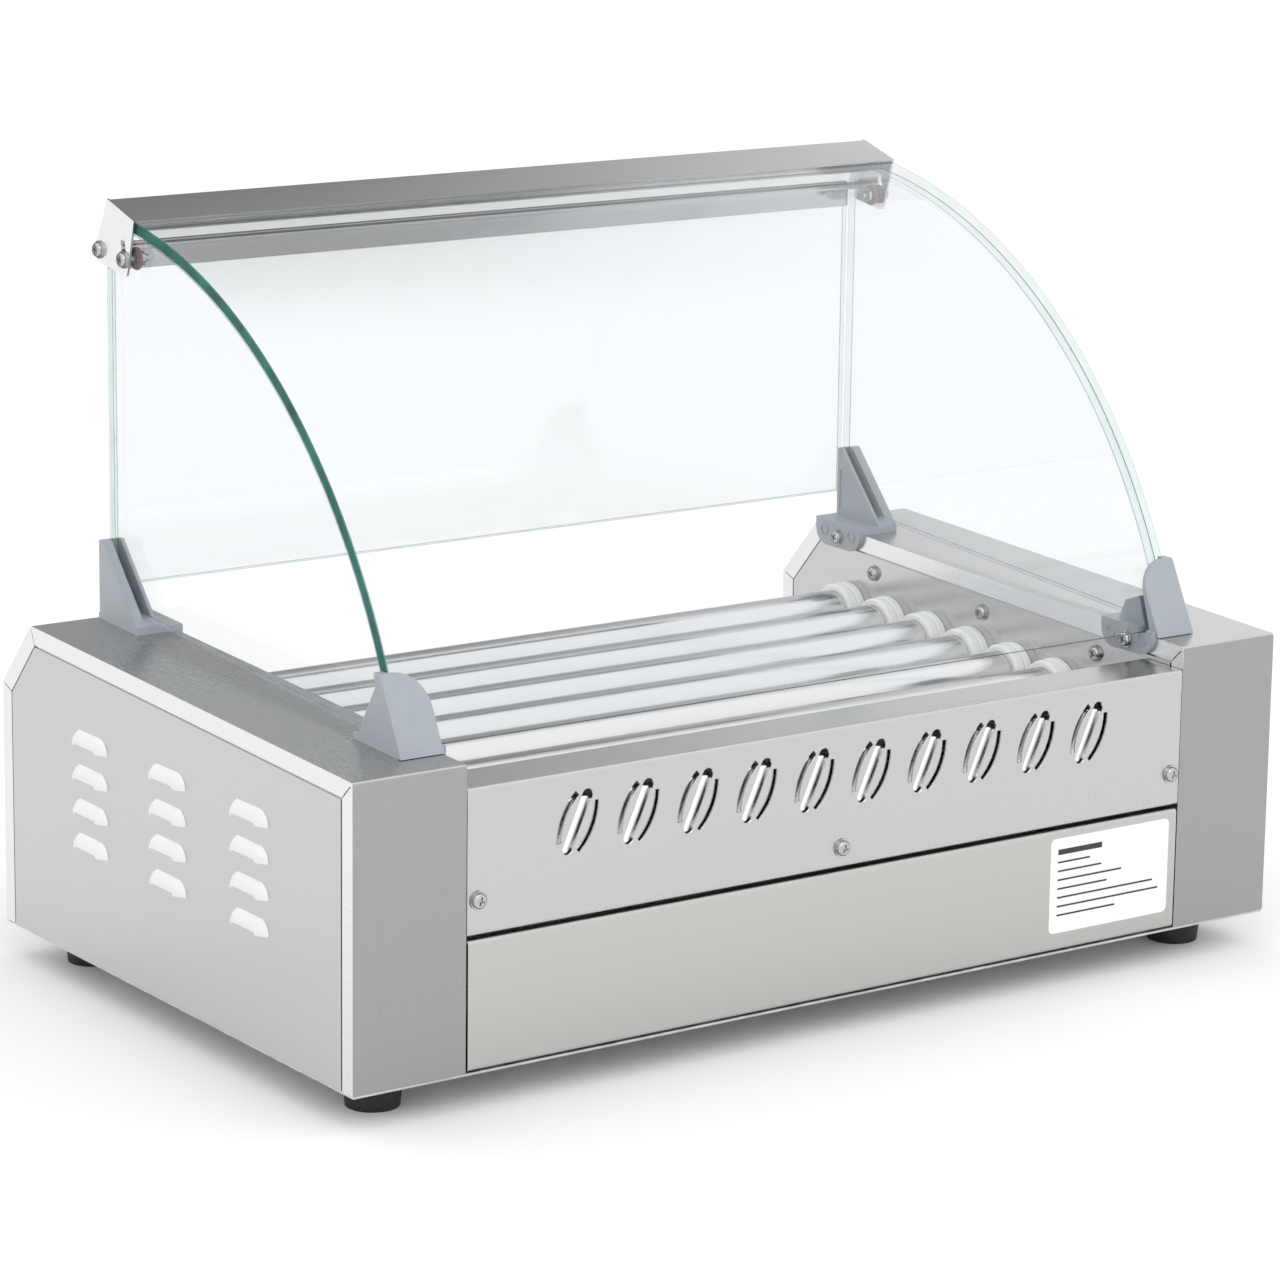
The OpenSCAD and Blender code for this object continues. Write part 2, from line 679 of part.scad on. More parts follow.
// Gear motor on an upright plate that is folded from its foot
module gear_motor() {
    plate_x = drive_x + 8;
    gearbox_r = 27;
    can_r = 22;
    color("darkgray") difference() {
        union() {
            along_x(plate_x, plate_x + sheet)
                polygon(rounded([[-32, floor_z], [32, floor_z], [32, motor_at[1] + 30],
                                 [-32, motor_at[1] + 30]], [0, 0, 6, 6]));
            translate([plate_x, -32, floor_z]) cube([30, 64, sheet]);
            on_x(motor_at, plate_x + sheet) cylinder(r = gearbox_r, h = 13);
            on_x(motor_at, plate_x + sheet + 13) cylinder(r = can_r, h = 17);
            on_x(motor_at, plate_x + sheet + 30) cylinder(r = 6, h = 2);
        }
        on_x(motor_at, plate_x - over) cylinder(r = motor_shaft_r + fit, h = 12);
    }
}

// Chain drawn as two link bands on a row of pins, running just outside the sprocket teeth
function away(v) = [v.y, -v.x];
function chain_point(s, i = 0) =
    let (a = chain_corners[i], b = chain_corners[(i + 1) % 3], c = chain_corners[(i + 2) % 3],
         d = unit(b - a), run = norm(b - a), phi = turn(d, unit(c - b)),
         bow = chain_run_r * phi * PI / 180)
    s <= run ? a + away(d) * chain_run_r + d * s
    : s <= run + bow ? b + away(turned(d, (s - run) / bow * phi)) * chain_run_r
    : chain_point(s - run - bow, (i + 1) % 3);
function chain_outline(r) = [
    for (i = [0 : 2])
        let (a = chain_corners[i], b = chain_corners[(i + 1) % 3], c = chain_corners[(i + 2) % 3],
             d = unit(b - a), phi = turn(d, unit(c - b)))
        for (k = [0 : 8]) b + away(turned(d, phi * k / 8)) * r];
chain_l = 2 * PI * chain_run_r + norm(chain_corners[1] - chain_corners[0])
    + norm(chain_corners[2] - chain_corners[1]) + norm(chain_corners[0] - chain_corners[2]);
chain_links = 2 * round(chain_l / chain_pitch / 2);

module drive_chain() {
    band_t = 0.8;
    band_h = 3.4;
    gap = sprocket_t + 1;
    color("darkslategray") {
        for (x = [drive_x - gap / 2 - band_t, drive_x + gap / 2])
            along_x(x, x + band_t) difference() {
                polygon(chain_outline(chain_run_r + band_h / 2));
                polygon(chain_outline(chain_run_r - band_h / 2));
            }
        for (k = [0 : chain_links - 1])
            on_x(chain_point(k * chain_l / chain_links), drive_x - gap / 2 - band_t - 0.4)
                cylinder(r = 1.1, h = gap + 2 * band_t + 0.8, $fn = 16);
    }
}
// Rod heater through each tube, with a ceramic bead and a terminal stud at both ends
module heating_elements() {
    bar_x = wall_x + 36;
    color("dimgray") for (i = [0 : roller_count - 1]) on_x(roller_at(i)) {
        translate([0, 0, -bar_x - 6]) cylinder(r = element_r, h = 2 * bar_x + 12);
        for (s = [0, 180]) rotate([s, 0, 0]) {
            translate([0, 0, bar_x + sheet + 0.1]) cylinder(r = 6.5, h = 8);
            translate([0, 0, bar_x + 9]) cylinder(r = 2, h = 9);
        }
    }
}
// Cranked bars, fixed to the bearing plates, that hold the rod heaters still
module element_supports() {
    bar_x = wall_x + 36;
    leg_y = 140;
    half_h = 9;
    color("silver") both_sides() difference() {
        union() {
            along_x(bar_x, bar_x + sheet) polygon([
                for (p = [[leg_y, -half_h], [leg_y, half_h], [-leg_y, half_h], [-leg_y, -half_h]])
                    [p[0], foot_h + roller_rear_h + (p[0] - roller_rear_y) * slope + p[1]]]);
            for (s = [-1, 1])
                translate([wall_x + 2 * sheet, s > 0 ? leg_y - sheet : -leg_y,
                           foot_h + roller_rear_h + (s * leg_y - roller_rear_y) * slope - half_h + 1])
                    cube([bar_x - wall_x - 2 * sheet, sheet, 2 * half_h - 2]);
        }
        for (i = [0 : roller_count - 1])
            on_x(roller_at(i), bar_x - over) cylinder(r = element_r + 0.1, h = sheet + 2 * over);
    }
}

// ---- Controls and wiring ----

module thermostats() {
    body = [34, 22, 34];
    color("ivory") for (x = knob_xs) {
        translate([x - body.x / 2, rear_face_y - sheet - body.y, knob_z - body.z / 2]) cube(body);
        on_y([x, knob_z], rear_face_y - sheet - 1) cylinder(r = 4.6, h = 2);
        on_y([x, knob_z], rear_face_y - sheet) cylinder(r = shaft_r, h = 15);
        for (dx = [-10, 0, 10])
            translate([x + dx - 3, rear_face_y - sheet - body.y - 6, knob_z - 8]) cube([6, 6, 0.8]);
    }
}
module heat_knob(x) {
    skirt_r = knob_r + 2;
    grip_w = 8;
    color("black") on_y([x, knob_z], rear_face_y + 1.2) difference() {
        union() {
            rotate_extrude() polygon(concat(
                [[0, 0], [skirt_r, 0], [skirt_r, 1.6], [skirt_r - 1, 2.6], [knob_r, 3.4]],
                arc([knob_r - 3.4, 10.4], 2, 0, 90, 6), [[0, 12.4]]));
            intersection() {
                translate([0, 0, 3]) cylinder(r = knob_r - 0.8, h = knob_l - 3);
                translate([-grip_w / 2, -knob_r, 3]) cube([grip_w, 2 * knob_r, knob_l - 3]);
            }
        }
        translate([0, 0, -over]) cylinder(r = shaft_r + fit, h = 14.5);
    }
}
module left_heat_knob() { heat_knob(knob_xs[1]); }
module right_heat_knob() { heat_knob(knob_xs[0]); }
module switch_frame() {
    size = [22, 2, 29];
    well = [15.2, 30, 21.4];
    color("black") difference() {
        union() {
            translate([switch_at[0] - size.x / 2, rear_face_y, switch_at[1] - size.z / 2]) cube(size);
            translate([switch_at[0] - 8.8, rear_face_y - 20, switch_at[1] - 12.3])
                cube([17.6, 20, 24.6]);
        }
        translate([switch_at[0] - well.x / 2, rear_face_y - 16, switch_at[1] - well.z / 2])
            cube(well);
        on_x(pivot_at, switch_at[0] - 10) cylinder(r = pivot_r + fit, h = 20);
    }
}
// Rocker that turns about a line along X and rests with its lower end pressed in
module switch_rocker() {
    half_h = 10.2;
    color("red") {
        translate([switch_at[0] - 7.4, pivot_at[0], pivot_at[1]])
            rotate([-rocker_tilt, 0, 0]) along_x(0, 14.8) polygon(concat(
                [[-8, -3], [-2.2, -half_h + 0.6], [2.6, -half_h + 0.4]],
                arc([24.5, 0], 22.6, 205.5, 154.5, 8),
                [[2.6, half_h - 0.4], [-2.2, half_h - 0.6], [-8, 3]]));
        on_x(pivot_at, switch_at[0] - 8.5) cylinder(r = pivot_r, h = 17);
    }
}
module pilot_lamps() {
    for (k = [0, 1]) color(["orange", "orange"][k])
        on_y([knob_xs[k], lamp_z], rear_face_y) {
            cylinder(r = 6.2, h = 1.4);
            translate([0, 0, 1.3]) intersection() {
                translate([0, 0, -4]) sphere(r = 6.6);
                cylinder(r = 5, h = 6);
            }
            translate([0, 0, -16]) cylinder(r = 4.4, h = 16.1);
        }
}
module terminal_block() {
    ways = 5;
    way_w = 12;
    x = -half_w + 22;
    color("ivory") difference() {
        union() for (k = [0 : ways - 1]) translate([x, 30 + k * way_w, floor_z]) {
            cube([24, way_w, 9]);
            translate([5, 1.2, 0]) cube([14, way_w - 2.4, 16]);
        }
        for (k = [0 : ways - 1]) translate([x + 12, 30 + (k + 0.5) * way_w, floor_z + 8])
            cylinder(r = 2.6, h = 12);
    }
}
module cable_gland() {
    color("black") on_y(gland_at, rear_face_y) difference() {
        union() {
            cylinder(r = 11, h = 4, $fn = 6);
            translate([0, 0, 3.9]) rotate_extrude()
                polygon(concat([[0, 0], [9.4, 0], [9.4, 6]], arc([6.4, 8], 3, 0, 80, 6), [[0, 11]]));
            translate([0, 0, -14]) cylinder(r = 8, h = 14.1);
            translate([0, 0, -sheet - 5]) cylinder(r = 11, h = 5, $fn = 6);
        }
        translate([0, 0, -15]) cylinder(r = 3.8, h = 40);
    }
}

// ---- Drip tray and feet ----

// Pan that slides out at the front; its front has a rolled top edge
module drip_tray() {
    front_low = floor_z + 0.4;
    front_top = foot_h + tray_front_h;
    pan_half_w = tray_half_w - 4;
    pan_t = 1;
    color("silver") {
        along_x(-tray_half_w, tray_half_w)
            strip([[-half_d + 10, front_low], [-half_d, front_low], [-half_d, front_top],
                   [-half_d + 6.4, front_top], [-half_d + 6.4, front_top - 9]], 2.6);
        difference() {
            translate([-pan_half_w, -half_d + sheet, tray_pan_z])
                cube([2 * pan_half_w, half_d + tray_rear_y - sheet, tray_wall_h]);
            translate([-pan_half_w + pan_t, -half_d + sheet + pan_t, tray_pan_z + pan_t])
                cube([2 * (pan_half_w - pan_t), half_d + tray_rear_y - sheet - 2 * pan_t, tray_wall_h]);
        }
    }
}
module feet() {
    foot_r = 15.5;
    color("black") both_sides() for (y = [-140, 140])
        translate([half_w - 33, y, 0]) difference() {
            cylinder(r1 = foot_r - 2, r2 = foot_r, h = foot_h);
            translate([0, 0, -over]) cylinder(r = 5, h = 8);
        }
}

// Screws of the casing: inner walls, brackets, front panel and the housings' rear faces
module panel_screws() {
    color("whitesmoke") {
        both_sides() {
            for (y = wall_screw_ys)
                on_x([y, top_z(y) - wall_screw_drop], wall_x) mirror([0, 0, 1]) pan_screw(6);
            for (z = rear_screw_zs) on_y([rear_screw_x, z], half_d) pan_screw(4);
            for (y = [front_bracket_y, rear_bracket_y])
                on_x([y, top_z(y) - bracket_screw_drop], bracket_in_x) mirror([0, 0, 1]) pan_screw(9);
        }
        for (at = front_screws) on_y(at, -half_d) mirror([0, 0, 1]) pan_screw(4);
        for (at = face_screws) on_y(at, rear_face_y) pan_screw(4);
    }
}

base_pan();
left_housing();
right_housing();
left_louvre_panel();
right_louvre_panel();
left_bearing_plate();
right_bearing_plate();
front_panel();
front_cross_rail();
rear_panel();
hood_cap();
front_glass();
left_glass();
right_glass();
left_front_bracket();
right_front_bracket();
left_rear_bracket();
right_rear_bracket();
panel_screws();
hood_screws();
hood_washers();
feet();
roller_bushings();
heating_elements();
element_supports();
gear_motor();
drive_chain();
thermostats();
switch_frame();
pilot_lamps();
terminal_block();
cable_gland();
rear_flap_glass();
rear_flap_rail();
drip_tray();
left_heat_knob();
right_heat_knob();
switch_rocker();
motor_sprocket();
for (i = [0 : roller_count - 1]) {
    roller_tube(i);
    roller_sleeves(i);
    roller_sprocket(i);
}
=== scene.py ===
"""Sausage roller grill: finished pieces, materials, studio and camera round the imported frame.
Metres throughout; +X is the customer's right, the customer side faces -Y, z = 0 is the counter."""
import json
import math

import bmesh
import bpy
from mathutils import Matrix, Vector


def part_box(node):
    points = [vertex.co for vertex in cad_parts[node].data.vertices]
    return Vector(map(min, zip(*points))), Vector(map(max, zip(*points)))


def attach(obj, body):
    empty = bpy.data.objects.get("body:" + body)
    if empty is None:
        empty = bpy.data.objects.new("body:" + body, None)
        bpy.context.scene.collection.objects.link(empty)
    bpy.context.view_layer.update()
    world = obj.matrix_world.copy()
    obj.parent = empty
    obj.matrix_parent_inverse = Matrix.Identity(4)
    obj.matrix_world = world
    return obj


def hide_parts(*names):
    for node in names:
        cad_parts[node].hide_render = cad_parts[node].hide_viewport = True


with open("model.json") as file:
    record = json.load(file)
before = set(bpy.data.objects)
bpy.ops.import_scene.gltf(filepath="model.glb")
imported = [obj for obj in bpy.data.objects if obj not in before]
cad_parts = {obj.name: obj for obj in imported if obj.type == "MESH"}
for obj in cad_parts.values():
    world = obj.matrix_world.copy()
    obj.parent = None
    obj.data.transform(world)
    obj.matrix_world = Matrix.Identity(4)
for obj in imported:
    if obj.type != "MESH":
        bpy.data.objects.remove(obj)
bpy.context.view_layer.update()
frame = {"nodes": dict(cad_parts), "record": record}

MM = 0.001
NODES = frame["nodes"]
BODY_OF = {n: body for body, nodes in frame["record"]["behaviour"]["bodies"].items() for n in nodes}
SLOT_OF = {s["node"]: s["material_slot"] for s in frame["record"]["subparts"]}
ROLLERS = range(1, 8)


# ---------------------------------------------------------------- camera

def make_camera():
    """Long lens at the place and turn from which the object was seen, with no depth of field."""
    lens = bpy.data.cameras.new("camera")
    lens.sensor_width = 36.0
    lens.lens = 129.85
    lens.shift_x = 0.0661
    lens.shift_y = -0.0513
    lens.clip_start = 0.05
    lens.clip_end = 100.0
    camera = bpy.data.objects.new("camera", lens)
    bpy.context.scene.collection.objects.link(camera)
    right = Vector((0.82633, -0.56316, 0.00889))
    up = Vector((0.11387, 0.18248, 0.97659))
    back = right.cross(up)
    turned = Matrix((right, up, back)).transposed().to_4x4()
    camera.matrix_world = Matrix.Translation((-1.38765, -1.94472, 0.73157)) @ turned
    bpy.context.scene.camera = camera


# ---------------------------------------------------------------- materials

class Finish:
    """One material under construction: its node tree and the nodes that every finish needs."""

    def __init__(self, name):
        self.material = bpy.data.materials.new(name)
        self.material.use_nodes = True
        self.tree = self.material.node_tree
        self.tree.nodes.clear()
        self.output = self.tree.nodes.new("ShaderNodeOutputMaterial")
        self.coordinates = self.tree.nodes.new("ShaderNodeTexCoord")

    def add(self, kind, links=None, **values):
        node = self.tree.nodes.new("ShaderNode" + kind)
        for key, value in values.items():
            setattr(node, key, value)
        for key, value in (links or {}).items():
            if isinstance(value, bpy.types.NodeSocket):
                self.tree.links.new(value, node.inputs[key])
            else:
                node.inputs[key].default_value = value
        return node

    def noise(self, frequency, detail=2.0, roughness=0.55):
        """Noise with its own frequency along x, y and z, in cycles per metre."""
        stretch = self.add("Mapping", {"Vector": self.coordinates.outputs["Object"],
                                       "Scale": frequency})
        cloud = self.add("TexNoise", {"Vector": stretch.outputs[0], "Scale": 1.0, "Detail": detail,
                                      "Roughness": roughness})
        return cloud.outputs["Fac"]

    def spread(self, value, low, high, start=0.3, end=0.7):
        """Maps start..end of a texture to low..high."""
        return self.add("MapRange", {"Value": value, "From Min": start, "From Max": end,
                                     "To Min": low, "To Max": high}).outputs[0]

    def mix(self, factor, a, b):
        node = self.add("Mix", data_type="FLOAT")
        self.tree.links.new(factor, node.inputs[0])
        for socket, value in ((node.inputs[2], a), (node.inputs[3], b)):
            if isinstance(value, bpy.types.NodeSocket):
                self.tree.links.new(value, socket)
            else:
                socket.default_value = value
        return node.outputs[0]

    def tint(self, value, dark, light, start=0.3, end=0.7):
        ramp = self.add("ValToRGB", {"Fac": value})
        ramp.color_ramp.elements[0].position = start
        ramp.color_ramp.elements[1].position = end
        ramp.color_ramp.elements[0].color = (*dark, 1.0)
        ramp.color_ramp.elements[1].color = (*light, 1.0)
        return ramp.outputs[0]

    def bump(self, height, strength, distance=0.0002, under=None):
        links = {"Height": height, "Strength": strength, "Distance": distance}
        if under is not None:
            links["Normal"] = under
        return self.add("Bump", links).outputs[0]

    def facing(self, axis, flat=0.75):
        """1 on faces whose normal has a share above flat along the object's own axis, else 0."""
        split = self.add("SeparateXYZ", {"Vector": self.coordinates.outputs["Normal"]})
        size = self.add("Math", {0: split.outputs[axis]}, operation="ABSOLUTE").outputs[0]
        return self.add("Math", {0: size, 1: flat}, operation="GREATER_THAN").outputs[0]

    def principled(self, **links):
        named = {key.replace("_", " "): value for key, value in links.items()}
        shader = self.add("BsdfPrincipled", named)
        self.tree.links.new(shader.outputs[0], self.output.inputs[0])
        return self.material


def shade(colour, factor):
    return tuple(c * factor for c in colour)


def brushed(name, colour, rough=0.27, grain="x", cross_grain=None, painted_light_by_axis=None, depth=0.0015,
            flat=0.75):
    """Brushed stainless sheet: fine scratches along the grain, faint smudges, slightly uneven
    gloss. cross_grain is the grain of the faces that look along y. tones maps an axis to the
    factor by which faces that look along it are painted lighter or darker: painted light and
    painted shade on one and the same steel."""
    f = Finish(name)
    line, hair = 1100.0, 2600.0  # scratches and finer hairs per metre across the grain
    along = {"x": (9.0, line, line), "y": (line, 9.0, line), "z": (line, line, 9.0)}
    hairs = {"x": (30.0, hair, hair), "y": (hair, 30.0, hair), "z": (hair, hair, 30.0)}
    scratch = f.noise(along[grain], 1.0, 0.5)
    fine = f.noise(hairs[grain], 1.0, 0.5)
    if cross_grain:
        front = f.facing("Y")
        scratch = f.mix(front, scratch, f.noise(along[cross_grain], 1.0, 0.5))
        fine = f.mix(front, fine, f.noise(hairs[cross_grain], 1.0, 0.5))
    smudge = f.noise((6.0, 6.0, 8.0), 2.0, 0.5)
    dark_line, light_line = 0.993, 1.005
    surface = f.tint(scratch, shade(colour, dark_line), shade(colour, light_line))
    # faces that look along each listed axis get a lighter or darker copy of the colour: painted light
    # and painted shade
    for axis, painted_light_factor in (painted_light_by_axis or {}).items():
        other = f.tint(scratch, shade(colour, dark_line * painted_light_factor), shade(colour, light_line * painted_light_factor))
        choice = f.add("Mix", data_type="RGBA")
        for value, socket in ((f.facing(axis, flat), 0), (surface, 6), (other, 7)):
            f.tree.links.new(value, choice.inputs[socket])
        surface = choice.outputs[2]
    gloss = f.add("Math", {0: f.spread(scratch, rough - 0.004, rough + 0.008),
                           1: f.spread(smudge, -0.015, 0.02)}, operation="ADD").outputs[0]
    return f.principled(Base_Color=surface, Metallic=1.0, Roughness=gloss,
                        Normal=f.bump(fine, depth, 0.0001))


def chrome(name, colour, rough=0.05, turned=False, painted_rim_shade=0.45, fade=(0.35, 0.85)):
    """Bright plated steel: hairline polishing marks, faint haze, and painted shade: the colour
    is darker where the surface turns away from view.
    """
    f = Finish(name)
    hairs = f.noise((2600.0, 30.0, 30.0) if turned else (260.0, 260.0, 260.0), 2.0, 0.6)
    haze = f.noise((9.0, 26.0, 26.0), 3.0, 0.6)
    # painted shade: the colour darkens towards grazing view, standing in for dark reflections and
    # shadow round the rims; the haze adds a random tone on top
    painted_shade_mask = f.add("LayerWeight", {"Blend": 0.5}).outputs["Facing"]
    haze_and_painted_shade = f.add("Math", {0: painted_shade_mask, 1: f.spread(haze, -0.02, 0.02)}, operation="ADD").outputs[0]
    return f.principled(
        Base_Color=f.tint(haze_and_painted_shade, colour, shade(colour, painted_rim_shade), *fade), Metallic=1.0,
        Roughness=f.spread(haze, rough, rough + 0.06), Normal=f.bump(hairs, 0.02, 0.00005))


def moulded(name, colour, rough=0.42, grain=900.0, depth=0.12, variation=0.06, **more):
    """Moulded plastic or rubber: fine spark-eroded texture, slight mottling, uneven gloss."""
    f = Finish(name)
    pits = f.noise((grain, grain, grain), 2.0, 0.6)
    mottle = f.noise((45.0, 45.0, 45.0), 3.0, 0.6)
    return f.principled(
        Base_Color=f.tint(mottle, shade(colour, 1.0 - variation), shade(colour, 1.0 + variation)),
        Roughness=f.spread(mottle, rough - 0.06, rough + 0.08),
        Normal=f.bump(pits, depth, 0.00015), **more)


def backing_sheet(name, colour, unlit, edge_height):
    """Sheet behind the cut-outs, painted bright there to stand in for the light that reaches it
    (painted light), and near black and dull below edge_height, where the gap over the drip
    tray shows it (painted shade)."""
    f = Finish(name)
    height = f.add("SeparateXYZ", {"Vector": f.coordinates.outputs["Object"]}).outputs["Z"]
    wipe = f.noise((12.0, 60.0, 60.0))
    painted_shade_to_light = f.add("MapRange", {"Value": height, "From Min": edge_height,
                               "From Max": edge_height + 2 * MM})
    # painted shade below edge_height, painted light above it; the wipe noise adds random streaks to
    # both
    choice = f.add("Mix", data_type="RGBA")
    for value, socket in ((painted_shade_to_light.outputs[0], 0), (f.tint(wipe, shade(unlit, 0.6), unlit), 6),
                          (f.tint(wipe, shade(colour, 0.97), colour), 7)):
        f.tree.links.new(value, choice.inputs[socket])
    return f.principled(Base_Color=choice.outputs[2],
                        Metallic=f.spread(painted_shade_to_light.outputs[0], 0.3, 1.0, 0.0, 1.0),
                        Roughness=f.spread(wipe, 0.12, 0.20))


def galvanised(name, colour):
    """Galvanised sheet with its spangle."""
    f = Finish(name)
    stretch = f.add("Mapping", {"Vector": f.coordinates.outputs["Object"], "Scale": (140.0,) * 3})
    cells = f.add("TexVoronoi", {"Vector": stretch.outputs[0], "Scale": 1.0})
    grey = f.add("SeparateXYZ", {"Vector": cells.outputs["Color"]}).outputs[0]
    fine = f.noise((700.0,) * 3)
    return f.principled(
        Base_Color=f.tint(grey, shade(colour, 0.84), shade(colour, 1.08), 0.0, 1.0), Metallic=0.9,
        Roughness=f.spread(grey, 0.36, 0.52, 0.0, 1.0), Normal=f.bump(fine, 0.08, 0.0001))


def oiled(name, colour):
    """Dark oiled steel with dirt in patches."""
    f = Finish(name)
    patch = f.noise((160.0,) * 3, 4.0, 0.65)
    return f.principled(
        Base_Color=f.tint(patch, shade(colour, 0.55), shade(colour, 1.25)), Metallic=0.85,
        Roughness=f.spread(patch, 0.22, 0.5), Normal=f.bump(patch, 0.12, 0.0002))


def glass_faces(name):
    """Broad faces of clear float glass: light passes straight through, and the gloss grows
    towards grazing angles."""
    f = Finish(name)
    clear = f.add("BsdfTransparent", {"Color": (0.966, 0.971, 0.974, 1.0)})
    wipe = f.noise((5.0, 5.0, 9.0), 3.0, 0.6)
    mirror = f.add("BsdfGlossy", {"Color": (0.93, 0.96, 0.97, 1.0),
                                  "Roughness": f.spread(wipe, 0.0, 0.02)})
    facing = f.add("LayerWeight", {"Blend": 0.5}).outputs["Facing"]
    steep = f.add("Math", {0: facing, 1: 4.0}, operation="POWER").outputs[0]
    gloss = f.add("MapRange", {"Value": steep, "To Min": 0.035, "To Max": 0.9}).outputs[0]
    both = f.add("MixShader", {0: gloss, 1: clear.outputs[0], 2: mirror.outputs[0]})
    f.tree.links.new(both.outputs[0], f.output.inputs[0])
    return f.material


def glass_edges(name, colour, clearness, through=(0.55, 0.82, 0.76), gloss=0.5):
    """Ground and polished edge of float glass, where the green of its body shows."""
    f = Finish(name)
    streak = f.noise((60.0, 60.0, 60.0), 3.0, 0.6)
    body = f.add("BsdfPrincipled", {"Base Color": f.tint(streak, shade(colour, 0.55),
                                                         shade(colour, 1.5)),
                                    "Roughness": f.spread(streak, 0.08, 0.2), "IOR": 1.5,
                                    "Specular IOR Level": gloss})
    clear = f.add("BsdfTransparent", {"Color": (*through, 1.0)})
    both = f.add("MixShader", {0: clearness, 1: body.outputs[0], 2: clear.outputs[0]})
    f.tree.links.new(both.outputs[0], f.output.inputs[0])
    return f.material


FINISH = {
    # housing sheet: faces along x painted lighter by 1.45 and faces along y painted darker by 0.67,
    # painted light and painted shade
    "brushed_stainless": brushed("housing_steel", (0.54, 0.54, 0.545), 0.27, "y", "z",
                                 {"X": 1.45, "Y": 0.67}, 0.0005),
    "satin_stainless": brushed("panel_steel", (0.55, 0.552, 0.55), 0.26, "x"),
    "galvanised_steel": galvanised("zinc_sheet", (0.60, 0.61, 0.63)),
    # cap sheet: faces along x painted lighter by 1.5, painted light
    "cap_steel": brushed("cap_sheet", (0.53, 0.53, 0.535), 0.22, "x", None, {"X": 1.5}),
    # screw heads: the 0.06 factor paints a near black outline where the heads turn away from view,
    # painted shade
    "polished_steel": chrome("bright_steel", (0.50, 0.50, 0.505), 0.09, False, 0.06, (0.3, 0.65)),
    "clear_glass": glass_faces("glass_face"),
    "grey_moulding": moulded("bracket_plastic", (0.335, 0.365, 0.395), 0.40, 1100.0, 0.10, 0.03),
    "red_rubber": moulded("washer_rubber", (0.17, 0.035, 0.025), 0.60, 700.0, 0.2, 0.12),
    "black_rubber": moulded("foot_rubber", (0.012, 0.012, 0.012), 0.58, 600.0, 0.25, 0.2),
    "white_ptfe": moulded("turned_ptfe", (0.88, 0.88, 0.87), 0.30, 400.0, 0.05, 0.02),
    "heater_sheath": oiled("heater_tube", (0.20, 0.18, 0.17)),
    "motor_casting": galvanised("cast_alloy", (0.55, 0.56, 0.57)),
    "oiled_steel": oiled("oily_steel", (0.17, 0.165, 0.16)),
    "ivory_moulding": moulded("ivory_plastic", (0.74, 0.70, 0.60), 0.38, 700.0, 0.1, 0.04),
    "black_moulding": moulded("black_plastic", (0.018, 0.018, 0.019), 0.36, 900.0, 0.14, 0.2),
    "amber_lens": moulded("amber_plastic", (0.88, 0.30, 0.03), 0.12, 200.0, 0.02, 0.05,
                          Transmission_Weight=0.45, IOR=1.49),
    "red_rocker": moulded("red_plastic", (0.55, 0.018, 0.012), 0.20, 500.0, 0.03, 0.05),
    # rollers: the 0.5 factor paints darker flanks where the tubes turn away from view, painted shade
    "chromed_roller": chrome("roller_chrome", (0.74, 0.74, 0.75), 0.15, True, 0.5),
}
# a near-opaque dark green copy of the edge glass for the front pane's left end, painted shade; the
# other edges take the pale copy
PAINTED_SHADE_EDGE_GLASS = glass_edges("glass_edge", (0.006, 0.095, 0.072), 0.04, gloss=0.12)
ARRIS_GLASS = glass_edges("glass_arris", (0.04, 0.12, 0.10), 0.20)
PALE_ARRIS = glass_edges("pale_glass_arris", (0.22, 0.26, 0.26), 0.45, (0.80, 0.87, 0.86))
PALE_EDGE = glass_edges("pale_glass_edge", (0.50, 0.56, 0.55), 0.85, (0.88, 0.94, 0.93))
# louvre panels: a brighter copy of the stainless (0.77) so the louvres look lit, painted light, with
# faces along x painted darker by 0.73, painted shade
PAINTED_LIGHT_LOUVRE_STEEL = brushed("louvre_panel_painted_light_steel", (0.77, 0.77, 0.775), 0.25, "y", None, {"X": 0.73},
                       flat=0.99)
BEARING_STEEL = brushed("bearing_plate_steel", (0.55, 0.548, 0.54), 0.19, "y")
# rail behind the cut-outs and the gap: painted light above 88.5 mm, painted shade below
RAIL_STEEL = backing_sheet("backing_rail_steel", (0.97, 0.97, 0.97), (0.02, 0.02, 0.02), 88.5 * MM)
TRAY_STEEL = brushed("tray_steel", (0.53, 0.522, 0.505), 0.25, "x")
LABEL_VINYL = moulded("label_vinyl", (0.86, 0.86, 0.86), 0.25, 150.0, 0.02, 0.01)
PRINT_INK = moulded("printed_ink", (0.03, 0.03, 0.035), 0.45, 300.0, 0.05, 0.15)
WHITE_INK = moulded("white_ink", (0.80, 0.80, 0.78), 0.40, 300.0, 0.05, 0.05)


# ---------------------------------------------------------------- mesh helpers

def add_piece(name, bm, body, material, smooth_angle=35.0):
    """Turns a bmesh into a piece that rides on a body; edges sharper than smooth_angle stay crisp."""
    for face in bm.faces:
        face.smooth = True
    sharp = math.radians(smooth_angle)
    for edge in bm.edges:
        edge.smooth = not (len(edge.link_faces) == 2 and edge.calc_face_angle() > sharp)
    mesh = bpy.data.meshes.new(name)
    bm.to_mesh(mesh)
    bm.free()
    for m in material if isinstance(material, (list, tuple)) else [material]:
        mesh.materials.append(m)
    piece = bpy.data.objects.new(name, mesh)
    bpy.context.scene.collection.objects.link(piece)
    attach(piece, body)
    return piece


